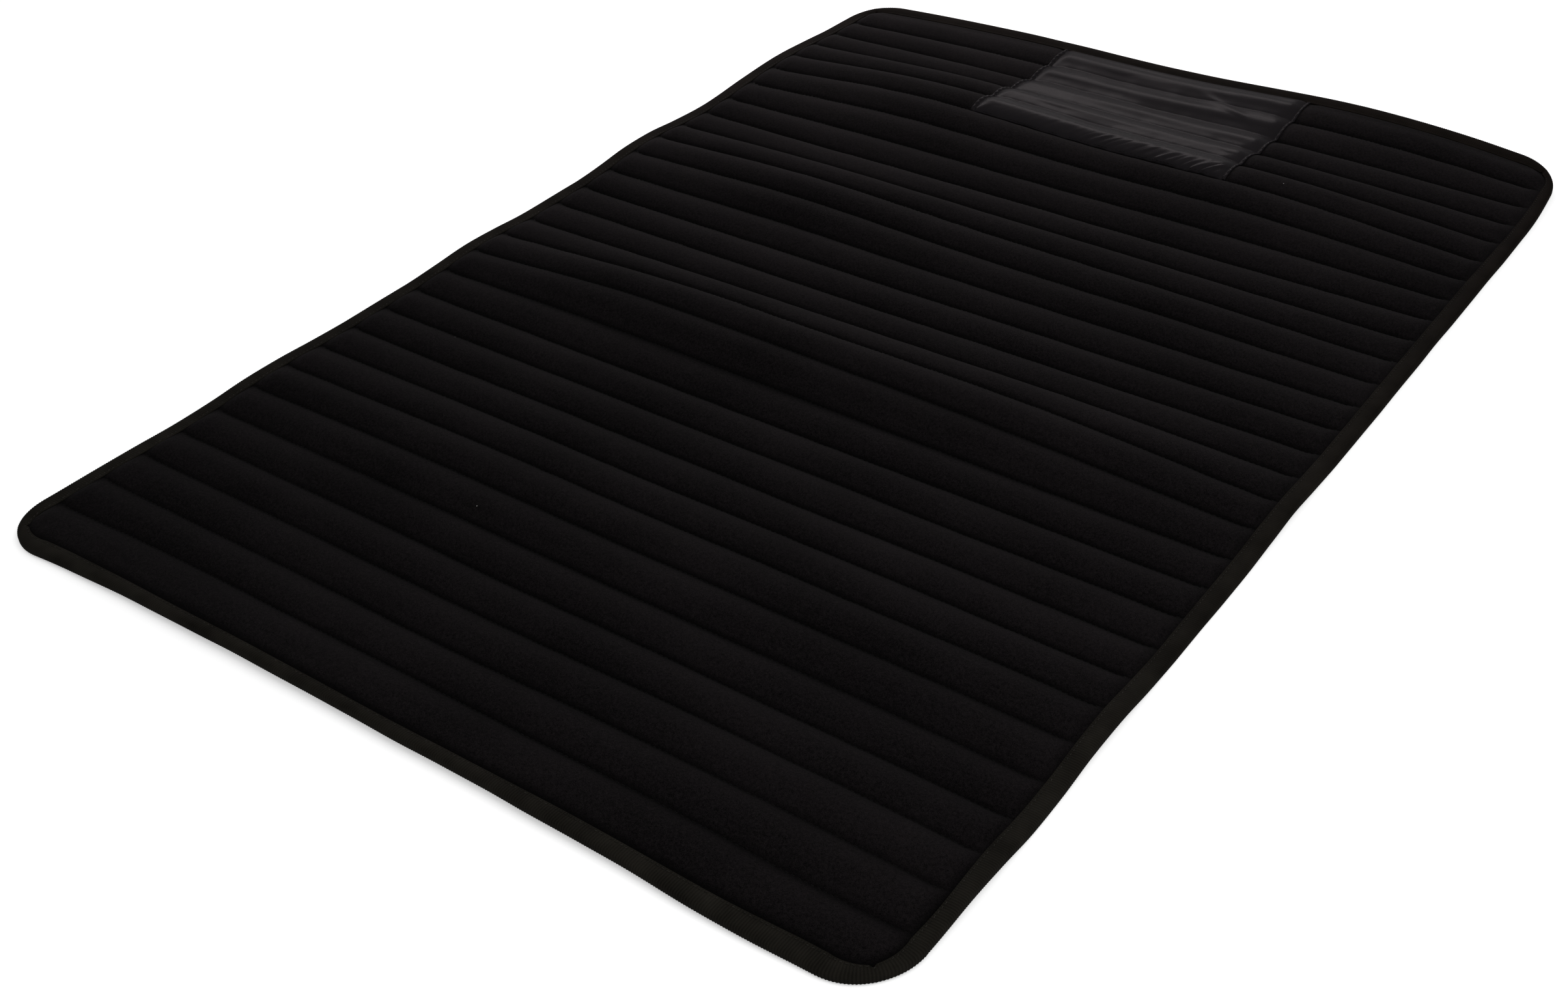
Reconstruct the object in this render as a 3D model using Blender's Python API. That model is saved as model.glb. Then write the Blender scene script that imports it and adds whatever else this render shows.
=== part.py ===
"""Kayak carrier mat: a quilted, padded mat with a tape-bound edge and a plain satin patch at one end.

Metres, +Z up. The width runs along X and the length along Y, with the patch at the +Y end. The mat
lies loosely on a floor at z = 0. It folds only at its seams, so low ridges stand between flat stretches.
"""

import math

import bmesh
import bpy
from mathutils import Vector

# Overall size
WIDTH = 0.610
LENGTH = 0.889
CORNER_RADIUS = 0.036
CORNER_STEPS = 6

# Channels, sewn across the width
CHANNELS = 30
CHANNEL_RISE = 0.0045
CHANNEL_STEPS = 4
END_TAPER = 0.010

# Layers, from the floor up, with the clear gap that is left between two pieces that touch
BACKING_THICKNESS = 0.0008
PADDING_AT_SEAM = 0.0012
FACE_THICKNESS = 0.0008
GAP = 0.0003

# Binding tape, folded round the rim
TAPE_WIDTH = 0.010
TAPE_THICKNESS = 0.0008
TAPE_CHAMFER = 0.0008
FOLD_GAP = 0.0004

# Patch, hemmed on three sides, with its far edge at the tape
PATCH_WIDTH = 0.212
PATCH_CHANNELS = 5
PATCH_THICKNESS = 0.0005
PATCH_HEM = 0.006
HEM_STEP = 0.0004
PATCH_DRAPE = 0.35
DRAPE_REACH = 0.014

# Ridges where the mat stands off the floor. Seam 1 lies at the near tape, and the last one at the far
# tape. Each row has the crest's seam at the left and at the right side, its reach to either side in
# channels, and its height at five stations spread evenly from left to right.
RIDGES = (
    (1.0, 1.0, 2.0, (0.0000, 0.0050, 0.0050, 0.0040, 0.0010)),
    (3.4, 3.2, 2.4, (0.0020, 0.0005, 0.0010, 0.0055, 0.0095)),
    (7.6, 7.6, 2.4, (0.0040, 0.0050, 0.0040, 0.0050, 0.0060)),
    (14.2, 14.8, 2.2, (0.0070, 0.0140, 0.0140, 0.0115, 0.0045)),
    (20.5, 20.9, 2.5, (0.0065, 0.0100, 0.0055, 0.0035, 0.0000)),
    (26.4, 26.2, 3.4, (0.0075, 0.0140, 0.0100, 0.0100, 0.0020)),
    (31.0, 31.0, 3.0, (0.0000, 0.0085, 0.0070, 0.0120, 0.0020)),
)

# What follows from those sizes
INNER_X = WIDTH / 2 - TAPE_WIDTH
INNER_Y = LENGTH / 2 - TAPE_WIDTH
INNER_RADIUS = CORNER_RADIUS - TAPE_WIDTH
PITCH = 2 * INNER_Y / CHANNELS
TAPE_LAYER = TAPE_THICKNESS + GAP
RIM_HEIGHT = 2 * TAPE_LAYER + BACKING_THICKNESS + PADDING_AT_SEAM + FACE_THICKNESS + 2 * GAP
PATCH_NEAR = INNER_Y - PATCH_CHANNELS * PITCH
STATIONS = len(RIDGES[0][3])


def crest_heights(seam):
    """How high the mat stands off the floor along one seam, at each station."""
    heights = []
    for station in range(STATIONS):
        total = 0.0
        for left, right, reach, crest in RIDGES:
            middle = left + (right - left) * station / (STATIONS - 1)
            away = min(abs(seam - middle) / reach, 1.0)
            total += crest[station] * math.cos(math.pi / 2 * away) ** 2
        heights.append(total)
    return heights


SEAM_HEIGHTS = [crest_heights(1 + number) for number in range(CHANNELS + 1)]


def across(y):
    """The number of channels between the near tape and y."""
    return min(max((y + INNER_Y) / PITCH, 0.0), float(CHANNELS))


def fold_height(x, y):
    """The mat's height off the floor, which runs straight from seam to seam and station to station."""
    row = min(int(across(y)), CHANNELS - 1)
    row_part = across(y) - row
    place = min(max((x / INNER_X + 1) / 2, 0.0), 1.0) * (STATIONS - 1)
    column = min(int(place), STATIONS - 2)
    column_part = place - column
    near = SEAM_HEIGHTS[row]
    far = SEAM_HEIGHTS[row + 1]
    near_height = near[column] + (near[column + 1] - near[column]) * column_part
    far_height = far[column] + (far[column + 1] - far[column]) * column_part
    return near_height + (far_height - near_height) * row_part


def half_width(y):
    """Half the width inside the tape, which narrows round the corners."""
    into_corner = INNER_RADIUS - (INNER_Y - abs(y))
    if into_corner <= 0:
        return INNER_X
    return INNER_X - INNER_RADIUS + math.sqrt(max(INNER_RADIUS**2 - into_corner**2, 0.0))


def inset(x, y):
    """The distance from a point inside the mat to the tape's inner edge."""
    beyond_x = abs(x) - (INNER_X - INNER_RADIUS)
    beyond_y = abs(y) - (INNER_Y - INNER_RADIUS)
    outside = math.hypot(max(beyond_x, 0.0), max(beyond_y, 0.0))
    return INNER_RADIUS - outside - min(max(beyond_x, beyond_y), 0.0)


def crown(y):
    """0 on a seam and 1 in the middle of a channel."""
    part = across(y) % 1
    return 4 * part * (1 - part)


def bulge(x, y):
    """How far the padding swells, which dies out where a channel ends at the tape."""
    end = min(max((half_width(y) - abs(x)) / END_TAPER, 0.0), 1.0)
    return CHANNEL_RISE * crown(y) * (1 - (1 - end) ** 2)


def backing_bottom(x, y):
    """The underside, which rises at the rim to let the tape pass below it."""
    under_tape = max(1 - inset(x, y) / END_TAPER, 0.0)
    return fold_height(x, y) + TAPE_LAYER * under_tape


def backing_top(x, y):
    return backing_bottom(x, y) + BACKING_THICKNESS


def padding_bottom(x, y):
    return backing_top(x, y) + GAP


def padding_top(x, y):
    return padding_bottom(x, y) + PADDING_AT_SEAM + bulge(x, y)


def face_bottom(x, y):
    return padding_top(x, y) + GAP


def face_top(x, y):
    return face_bottom(x, y) + FACE_THICKNESS


def patch_bottom(x, y):
    """The patch spans the seams a little above them, away from its sewn edges."""
    to_edge = min(PATCH_WIDTH / 2 - abs(x), y - PATCH_NEAR, INNER_Y - y)
    free = min(max(to_edge / DRAPE_REACH, 0.0), 1.0)
    return face_top(x, y) + GAP + CHANNEL_RISE * PATCH_DRAPE * free * (1 - crown(y))


def patch_top(x, y):
    """The hem is two layers thick."""
    hemmed = PATCH_WIDTH / 2 - abs(x) <= PATCH_HEM or y - PATCH_NEAR <= PATCH_HEM
    return patch_bottom(x, y) + PATCH_THICKNESS * (2 if hemmed else 1)


def row_places():
    """The rows of points along Y: the seams, the steps between them and the corners' own steps."""
    corner = [
        INNER_Y - INNER_RADIUS * (1 - math.cos(math.pi / 2 * step / CORNER_STEPS))
        for step in range(CORNER_STEPS + 1)
    ]
    rows = [-y for y in corner] + corner
    for step in range(CHANNELS * CHANNEL_STEPS + 1):
        y = -INNER_Y + step * PITCH / CHANNEL_STEPS
        apart = min(abs(y - other) for other in rows)
        on_seam = step % CHANNEL_STEPS == 0
        clear_of_corner = abs(y) < INNER_Y - INNER_RADIUS
        if apart > GAP and (on_seam or clear_of_corner):
            rows.append(y)
    return sorted(rows)


def column_places(y):
    """The columns of points along X, closer together where the channels end."""
    side = half_width(y)
    quarter = 2 * INNER_X / (STATIONS - 1)
    right = [quarter, side - END_TAPER, side]
    return [-x for x in reversed(right)] + [0.0] + right


def outward(x, y):
    """The direction that leads straight out of the mat from a point on the tape's inner edge."""
    into_corner = abs(y) - (INNER_Y - INNER_RADIUS)
    if into_corner <= 0:
        return Vector((math.copysign(1, x), 0))
    from_centre = Vector((max(abs(x) - (INNER_X - INNER_RADIUS), 0), into_corner))
    from_centre.normalize()
    return Vector((math.copysign(from_centre.x, x), math.copysign(from_centre.y, y)))


def grid_triangles(rows, columns):
    """Two triangles to each cell, all cut the same way, so that the layers stay parallel."""
    triangles = []
    for row in range(rows - 1):
        for column in range(columns - 1):
            a = row * columns + column
            b = a + columns
            triangles += [(a, a + 1, b + 1), (a, b + 1, b)]
    return triangles


def rim_loop(rows, columns):
    """The indices of a grid's outer points, in order round it."""
    near = list(range(columns))
    right = [row * columns + columns - 1 for row in range(1, rows)]
    far = [(rows - 1) * columns + column for column in reversed(range(columns - 1))]
    left = [row * columns for row in reversed(range(1, rows - 1))]
    return near + right + far + left


def mat_plan():
    """The mat seen from above, out to the tape's fold: its points, each with the point that gives its
    height, and its triangles. Below the tape, the height is that of the tape's inner edge."""
    rows = row_places()
    points = [(x, y) for y in rows for x in column_places(y)]
    columns = len(points) // len(rows)
    triangles = grid_triangles(len(rows), columns)
    loop = rim_loop(len(rows), columns)
    sources = list(points)
    reach = TAPE_WIDTH - TAPE_THICKNESS - FOLD_GAP
    first = len(points)
    for index in loop:
        x, y = points[index]
        direction = outward(x, y)
        points.append((x + reach * direction.x, y + reach * direction.y))
        sources.append((x, y))
    for step, index in enumerate(loop):
        following = (step + 1) % len(loop)
        a, b = first + step, first + following
        triangles += [(index, a, b), (index, b, loop[following])]
    return points, sources, triangles, [sources[index] for index in loop]


def patch_plan():
    """The patch seen from above, with the mat's own rows between its hem and the tape."""
    hem_end = PATCH_NEAR + PATCH_HEM + HEM_STEP
    last = INNER_Y - GAP
    rows = [PATCH_NEAR, PATCH_NEAR + PATCH_HEM, hem_end]
    rows += [y for y in row_places() if hem_end + GAP < y < last - GAP] + [last]
    edge = PATCH_WIDTH / 2
    right = [edge - PATCH_HEM - HEM_STEP, edge - PATCH_HEM, edge]
    columns = [-x for x in reversed(right)] + [0.0] + right
    points = [(x, y) for y in rows for x in columns]
    return points, grid_triangles(len(rows), len(columns))


def material(name, colour, roughness):
    """A plain surface of one colour."""
    made = bpy.data.materials.new(name)
    made.use_nodes = True
    surface = made.node_tree.nodes["Principled BSDF"]
    surface.inputs["Base Color"].default_value = (*colour, 1)
    surface.inputs["Roughness"].default_value = roughness
    surface.inputs["Metallic"].default_value = 0
    return made


def finish(name, mesh_builder, surface):
    """Turns the faces outwards, smooths them and places the piece in the scene."""
    bmesh.ops.recalc_face_normals(mesh_builder, faces=mesh_builder.faces[:])
    mesh = bpy.data.meshes.new(name)
    mesh_builder.to_mesh(mesh)
    mesh_builder.free()
    mesh.shade_smooth()
    mesh.materials.append(surface)
    piece = bpy.data.objects.new(name, mesh)
    bpy.context.scene.collection.objects.link(piece)
    return piece


def layer(name, points, sources, triangles, bottom, top, surface):
    """One sheet of the mat: its underside is drawn first, then extruded up to its top side."""
    builder = bmesh.new()
    number = builder.verts.layers.int.new("number")
    for index, ((x, y), source) in enumerate(zip(points, sources)):
        builder.verts.new((x, y, bottom(*source)))[number] = index
    builder.verts.ensure_lookup_table()
    for corners in triangles:
        builder.faces.new([builder.verts[index] for index in corners])
    sheet = builder.verts[:] + builder.edges[:] + builder.faces[:]
    extruded = bmesh.ops.extrude_face_region(builder, geom=sheet, use_keep_orig=True)
    for item in extruded["geom"]:
        if isinstance(item, bmesh.types.BMVert):
            item.co.z = top(*sources[item[number]])
    builder.verts.layers.int.remove(number)
    return finish(name, builder, surface)


def tape_section():
    """The folded tape's section: the distance out from its inner edge, and the height."""
    width, thick, chamfer, height = TAPE_WIDTH, TAPE_THICKNESS, TAPE_CHAMFER, RIM_HEIGHT
    inner = chamfer - thick * (2 - math.sqrt(2))
    wall = width - thick
    outer_half = [(0, 0), (width - chamfer, 0), (width, chamfer)]
    inner_half = [(wall, thick + inner), (wall - inner, thick), (0, thick)]
    outer_top = [(out, height - up) for out, up in reversed(outer_half)]
    inner_top = [(out, height - up) for out, up in reversed(inner_half)]
    return outer_half + outer_top + inner_top + inner_half


def binding(name, loop, surface):
    """The tape, lofted round the rim from one station of its inner edge to the next."""
    section = tape_section()
    builder = bmesh.new()
    rings = []
    for x, y in loop:
        direction = outward(x, y)
        floor = fold_height(x, y)
        rings.append(
            [
                builder.verts.new((x + out * direction.x, y + out * direction.y, floor + up))
                for out, up in section
            ]
        )
    for ring, following in zip(rings, rings[1:] + rings[:1]):
        for index in range(len(section)):
            after = (index + 1) % len(section)
            builder.faces.new((ring[index], following[index], following[after], ring[after]))
    return finish(name, builder, surface)


def clear_scene():
    for thing in list(bpy.data.objects):
        bpy.data.objects.remove(thing, do_unlink=True)


def build_mat():
    points, sources, triangles, rim = mat_plan()
    mat_layers = (
        ("backing_sheet", backing_bottom, backing_top, material("backing", (0.014, 0.014, 0.015), 0.8)),
        ("foam_padding", padding_bottom, padding_top, material("foam", (0.09, 0.09, 0.095), 0.95)),
        ("face_fabric", face_bottom, face_top, material("velour", (0.006, 0.0055, 0.0065), 0.95)),
    )
    for name, bottom, top, surface in mat_layers:
        layer(name, points, sources, triangles, bottom, top, surface)
    binding("edge_binding", rim, material("tape", (0.012, 0.0105, 0.010), 0.7))
    patch, patch_triangles = patch_plan()
    satin = material("satin", (0.016, 0.0155, 0.018), 0.4)
    layer("patch_panel", patch, patch, patch_triangles, patch_bottom, patch_top, satin)


clear_scene()
build_mat()
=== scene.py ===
"""The kayak carrier mat, dressed: velour face, ribbed binding tape, satin patch and threads.

It lies in a pale studio, seen by the camera of the photograph. Lengths are in metres.
"""

import math

import bmesh
import bpy
import numpy as np
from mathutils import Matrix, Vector


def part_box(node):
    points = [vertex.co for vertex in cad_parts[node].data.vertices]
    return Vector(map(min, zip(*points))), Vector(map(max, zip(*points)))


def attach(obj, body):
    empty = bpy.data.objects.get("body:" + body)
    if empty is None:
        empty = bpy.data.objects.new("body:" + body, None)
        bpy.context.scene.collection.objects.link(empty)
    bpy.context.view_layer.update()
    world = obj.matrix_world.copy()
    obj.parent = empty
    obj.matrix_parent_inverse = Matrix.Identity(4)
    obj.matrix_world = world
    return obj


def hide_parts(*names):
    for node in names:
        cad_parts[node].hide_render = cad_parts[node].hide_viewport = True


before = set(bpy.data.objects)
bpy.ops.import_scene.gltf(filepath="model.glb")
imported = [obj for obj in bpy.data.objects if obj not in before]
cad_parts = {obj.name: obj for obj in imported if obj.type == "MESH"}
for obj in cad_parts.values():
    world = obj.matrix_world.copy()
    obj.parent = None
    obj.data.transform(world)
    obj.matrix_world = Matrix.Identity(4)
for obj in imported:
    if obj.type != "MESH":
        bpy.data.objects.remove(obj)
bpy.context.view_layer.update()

# Sizes read from the frame
HALF_WIDTH, HALF_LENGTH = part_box("edge_binding")[1][:2]
PATCH_LOW, PATCH_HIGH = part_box("patch_panel")

# Sizes that the frame's boxes don't show, the same as the part's own
CORNER_RADIUS = 0.036
CHANNELS = 30
CHANNEL_RISE = 0.0045
END_TAPER = 0.010
BACKING_THICKNESS = 0.0008
PADDING_AT_SEAM = 0.0012
FACE_THICKNESS = 0.0008
GAP = 0.0003
TAPE_WIDTH = 0.010
TAPE_THICKNESS = 0.0008
FOLD_GAP = 0.0004
PATCH_THICKNESS = 0.0005

# Ridges: the crest's seam at the left and right side, its reach in channels, and its height at
# five stations from left to right.
# The rim lies up to 5 mm lower than the plain solids' rim, as the tape drapes it.
RIDGES = (
    (1.0, 1.0, 2.0, (0.0000, 0.0050, 0.0050, 0.0040, 0.0000)),
    (3.4, 3.2, 2.4, (0.0012, 0.0005, 0.0010, 0.0055, 0.0050)),
    (7.6, 7.6, 2.4, (0.0023, 0.0050, 0.0040, 0.0050, 0.0042)),
    (14.2, 14.8, 2.2, (0.0030, 0.0140, 0.0140, 0.0115, 0.0029)),
    (20.5, 20.9, 2.5, (0.0045, 0.0100, 0.0055, 0.0035, 0.0002)),
    (26.4, 26.2, 3.4, (0.0040, 0.0140, 0.0100, 0.0100, 0.0000)),
    (31.0, 31.0, 3.0, (0.0000, 0.0044, 0.0044, 0.0094, 0.0018)),
)

# How the mat is drawn out of square as it lies: wider at its near end, with each corner pulled
# along its diagonal, outwards where the pull is above zero
TAPER = 0.0030
NEAR_BOW = 0.0013
CORNER_PULLS = ((-1, -1, 0.0050), (1, -1, -0.0034), (1, 1, -0.0077), (-1, 1, -0.0031))
PULL_REACH = 0.040

# The quilting seams: how far they draw the velour down, wander and pucker it
SEAM_PINCH = 0.0006
SEAM_PINCH_WIDTH = 0.0016
BACKING_PINCH = 0.0004
SEAM_WANDER = 0.0006
PUCKER = 0.00022

# The tape: its cut width and length, its ribs, and where its inner edge strays outwards
RIB_PITCH = 0.0015
RIB_DEPTH = 0.00030
POINTED_RADIUS = 0.016
CORNER_DIP = 0.0040
CORNER_NOTCH = 0.0016
NEAR_FOLD = 0.0030
FAR_TILT = 0.0022
FAR_ROLL = 0.0007

# The patch: the bead of its turned hem, the groove beside it, its pleats, and one wrinkle's middle,
# direction and height
HEM_BEAD = 0.0024
BEAD_RISE = 0.0007
BEAD_TWIST = 0.00022
TWIST_PITCH = 0.0052
GROOVE_DEPTH = 0.0006
PLEAT_RISE = 0.0021
WRINKLE_FROM_TAPE = 0.034
WRINKLE_X = 0.052
WRINKLE_WAY = (0.89, -0.45)
WRINKLE_RISE = 0.0009

# Threads: the pitch of the stitches, and each stitch's length, width and height
SEAM_STITCH = 0.0036
SEAM_THREAD = (0.0029, 0.0006, 0.0005)
TAPE_STITCH = 0.0031
TAPE_THREAD = (0.0019, 0.0006, 0.0005)
PATCH_STITCH = 0.0030
PATCH_THREAD = (0.0025, 0.0005, 0.0004)
STITCH_LINE = 0.0016

# The camera, solved from the mat's outline and seams in the photograph
CAMERA_PLACE = (0.61814, -0.88765, 0.67875)
CAMERA_TURN = (53.3965, 2.6165, 36.2102)
CAMERA_LENS = 45.248

INNER_X = HALF_WIDTH - TAPE_WIDTH
INNER_Y = HALF_LENGTH - TAPE_WIDTH
INNER_RADIUS = CORNER_RADIUS - TAPE_WIDTH
PITCH = 2 * INNER_Y / CHANNELS
TAPE_LAYER = TAPE_THICKNESS + GAP
STACK = BACKING_THICKNESS + PADDING_AT_SEAM + FACE_THICKNESS + 2 * GAP
RIM_HEIGHT = 2 * TAPE_LAYER + STACK
UNDER_TAPE = TAPE_WIDTH - TAPE_THICKNESS - FOLD_GAP


# How the mat lies

def crest_table():
    """The height off the floor of each seam, at each station."""
    seams = 1 + np.arange(CHANNELS + 1)
    table = np.zeros((len(seams), len(RIDGES[0][3])))
    for left, right, reach, crest in RIDGES:
        middle = np.linspace(left, right, len(crest))
        away = np.minimum(abs(seams[:, None] - middle) / reach, 1)
        table += np.array(crest) * np.cos(math.pi / 2 * away) ** 2
    return table


SEAM_HEIGHTS = crest_table()
STATIONS = SEAM_HEIGHTS.shape[1]
PADDED_HEIGHTS = np.pad(SEAM_HEIGHTS, 1, mode="reflect", reflect_type="odd")


def across(y):
    """The number of channels between the near tape and y."""
    return np.clip((y + INNER_Y) / PITCH, 0, CHANNELS)


def curve(before, start, end, after, part):
    """A smooth curve from start to end, the four heights being evenly spaced."""
    bend = 2 * before - 5 * start + 4 * end - after
    twist = 3 * (start - end) + after - before
    return start + 0.5 * part * (end - before + part * (bend + part * twist))


def fold_height(x, y):
    """The mat's height off the floor, a smooth curve both along the seams and across them."""
    row = np.minimum(across(y).astype(int), CHANNELS - 1)
    place = np.clip((x / INNER_X + 1) / 2, 0, 1) * (STATIONS - 1)
    column = np.minimum(place.astype(int), STATIONS - 2)

    def on_seam(seam):
        return curve(*(PADDED_HEIGHTS[seam, column + step] for step in range(4)), place - column)

    return np.maximum(curve(*(on_seam(row + step) for step in range(4)), across(y) - row), 0)


def noise(x, y, size_x, size_y, seed):
    """Smooth noise from -1 to 1 with bumps of about the given sizes."""
    values = np.random.default_rng(seed).uniform(-1, 1, (128, 128))
    place_x, place_y = x / size_x + 40.3, y / size_y + 40.7
    column, row = np.floor(place_x).astype(int), np.floor(place_y).astype(int)
    part_x, part_y = place_x - column, place_y - row
    part_x = part_x * part_x * (3 - 2 * part_x)
    part_y = part_y * part_y * (3 - 2 * part_y)

    def at(step_x, step_y):
        return values[(column + step_x) % 128, (row + step_y) % 128]

    low = at(0, 0) + (at(1, 0) - at(0, 0)) * part_x
    high = at(0, 1) + (at(1, 1) - at(0, 1)) * part_x
    return low + (high - low) * part_y


def smooth(value):
    """0 below 0, 1 above 1, and an even S between."""
    value = np.clip(value, 0, 1)
    return value * value * (3 - 2 * value)


def ramp(value, start, end):
    """0 at start and before it, 1 at end and beyond it, and an even S between."""
    return smooth((value - start) / (end - start))


def falloff(away, width):
    """1 at no distance, falling to 0 within about two widths."""
    return np.exp(-((away / width) ** 2))


def inset(x, y):
    """The distance inwards from the tape's inner edge, whose corners come to a point."""
    beyond_x = abs(x) - (INNER_X - POINTED_RADIUS)
    beyond_y = abs(y) - (INNER_Y - POINTED_RADIUS)
    outside = np.hypot(np.maximum(beyond_x, 0), np.maximum(beyond_y, 0))
    return POINTED_RADIUS - outside - np.minimum(np.maximum(beyond_x, beyond_y), 0)


def half_width(y, radius=POINTED_RADIUS, reach=0.0):
    """Half the width at y inside the tape, or out to reach beyond its inner edge."""
    into_corner = np.clip(radius - (INNER_Y + reach - abs(y)), 0, radius)
    return INNER_X + reach - radius + np.sqrt(radius**2 - into_corner**2)


def near_fold(x):
    """How far the near tape's inner edge lies outwards, as more of the tape is folded below."""
    lessened = 1 - 0.6 * ramp(x, 0.02, 0.12)
    return NEAR_FOLD * ramp(x, -0.30, -0.14) * lessened * ramp(x, 0.27, 0.21)


def crown(x, y):
    """0 on a seam or at the tape, 1 in the middle of a channel, with rounded shoulders."""
    part = across(y) % 1
    first = np.clip((y + INNER_Y + near_fold(x)) / (PITCH + near_fold(x)), 0, 1)
    part = np.where(y < PITCH - INNER_Y, first, part)
    return (4 * part * (1 - part)) ** 1.2


def bulge(x, y):
    """How far the padding swells. It dies out where a channel ends at the tape."""
    end = np.clip((half_width(y) - abs(x)) / END_TAPER, 0, 1)
    filled = 1 + 0.07 * noise(x, y, 0.11, PITCH, 3) + 0.04 * noise(x, y, 0.035, PITCH / 2, 4)
    return CHANNEL_RISE * crown(x, y) * (1 - (1 - end) ** 2.4) * filled


def seam_closeness(x, y, width):
    """1 on a seam or at the near tape, and falling to 0 within about two widths of it."""
    number = np.rint(across(y))
    away = abs(y - (number * PITCH - INNER_Y - near_fold(x) * (number == 0)))
    return falloff(away, width)


def seam_pinch(x, y):
    """How far the stitches draw the velour down into the padding along the seams."""
    pinch = SEAM_PINCH * seam_closeness(x, y, SEAM_PINCH_WIDTH)
    return pinch * ramp(inset(x, y), -0.001, 0.003)


def painted_shade(x, y):
    """1 where shade is painted into the velour, along the seams and where it goes under the tape.

    A seam's band of painted shade is wider on its near side. It is fainter towards the near corners
    and along the patch's near edge.
    """
    near = ramp(abs(y + INNER_Y), 0.02, 0.01)
    inside = inset(x, y) + near_fold(x) * near - 0.0003
    # Painted shade where the velour goes under the tape's inner edge, fainter at the far end.
    shade_under_tape = falloff(np.maximum(inside, 0), 0.0013 + 0.0015 * near)
    shade_under_tape *= 0.35 + 0.65 * ramp(INNER_Y - y, 0.005, 0.155)
    shade_band_width = np.where(across(y) % 1 > 0.5, 0.0042, 0.0020)
    fainter_shade = 0.35 * ramp(y, -0.15, -0.35) * ramp(abs(x), 0.08, 0.20)
    by_patch = ramp(abs(x) - PATCH_HIGH[0], 0.01, 0) * ramp(abs(y - PATCH_LOW[1]), 0.008, 0.005)
    return np.maximum(seam_closeness(x, y, shade_band_width) * (1 - fainter_shade - 0.45 * by_patch), shade_under_tape)


def underside(x, y):
    """The underside, which rises at the rim so that the tape can pass below it."""
    return fold_height(x, y) + TAPE_LAYER * ramp(inset(x, y), END_TAPER, 0)


def side_seam(x, y):
    """1 along the seams that hold the patch's sides, and falling to 0 beside them."""
    away = abs(abs(x) - PATCH_HIGH[0] + HEM_BEAD)
    return falloff(away, 0.0048) * ramp(y - PATCH_LOW[1], -0.003, 0.003)


def far_roll(x, y):
    """The velour's roll against the far tape's inner edge, on both sides of the patch."""
    into = INNER_Y - y
    roll = FAR_ROLL * ramp(into, 0, 0.0004) * ramp(into, 0.008, 0.001)
    return roll * ramp(abs(x) - PATCH_HIGH[0], 0.002, 0.006) * ramp(inset(x, y), 0, 0.0004)


def face_top(x, y):
    """The velour's top side."""
    puckers = PUCKER * noise(x, y, 0.009, 0.02, 5) * (1 - crown(x, y)) * ramp(inset(x, y), 0, 0.02)
    swell = bulge(x, y) * (1 - 0.42 * side_seam(x, y))
    return underside(x, y) + STACK + swell - seam_pinch(x, y) + puckers + far_roll(x, y)


def seam_wander(x, y):
    """How far a seam strays from its straight line."""
    return SEAM_WANDER * noise(x, y, 0.09, PITCH, 7) * ramp(inset(x, y), 0, 0.03)


def settled(points):
    """The points as the mat lies, drawn a little out of square."""
    x, y = points[..., 0].copy(), points[..., 1].copy()
    share_x, share_y = x / HALF_WIDTH, y / HALF_LENGTH
    points[..., 0] -= TAPER * share_x * share_y
    to_near = np.clip((1 - share_y) / 2, 0, 1)
    points[..., 1] += NEAR_BOW * (1 - np.minimum(share_x**2, 1)) * to_near**3
    for side, end, pull in CORNER_PULLS:
        away = (x - side * HALF_WIDTH) ** 2 + (y - end * HALF_LENGTH) ** 2
        drawn = pull * np.exp(-away / (2 * PULL_REACH**2)) * math.sqrt(0.5)
        points[..., 0] += drawn * side
        points[..., 1] += drawn * end
    return points


# Materials

class Wire:
    """One shader value. Adding, subtracting or multiplying wires adds Math nodes."""

    def __init__(self, surface, socket):
        self.surface = surface
        self.socket = socket

    def math(self, operation, *others):
        sockets = dict(enumerate([self, *others]))
        return self.surface.node("ShaderNodeMath", {"operation": operation}, sockets)

    def also(self, output):
        """Another output of the node that this value comes from."""
        return Wire(self.surface, self.socket.node.outputs[output])

    def __add__(self, other):
        return self.math("ADD", other)

    def __sub__(self, other):
        return self.math("SUBTRACT", other)

    def __mul__(self, other):
        return self.math("MULTIPLY", other)

    def __rsub__(self, other):
        return self.surface.node("ShaderNodeMath", {"operation": "SUBTRACT"}, {0: other, 1: self})


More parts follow.
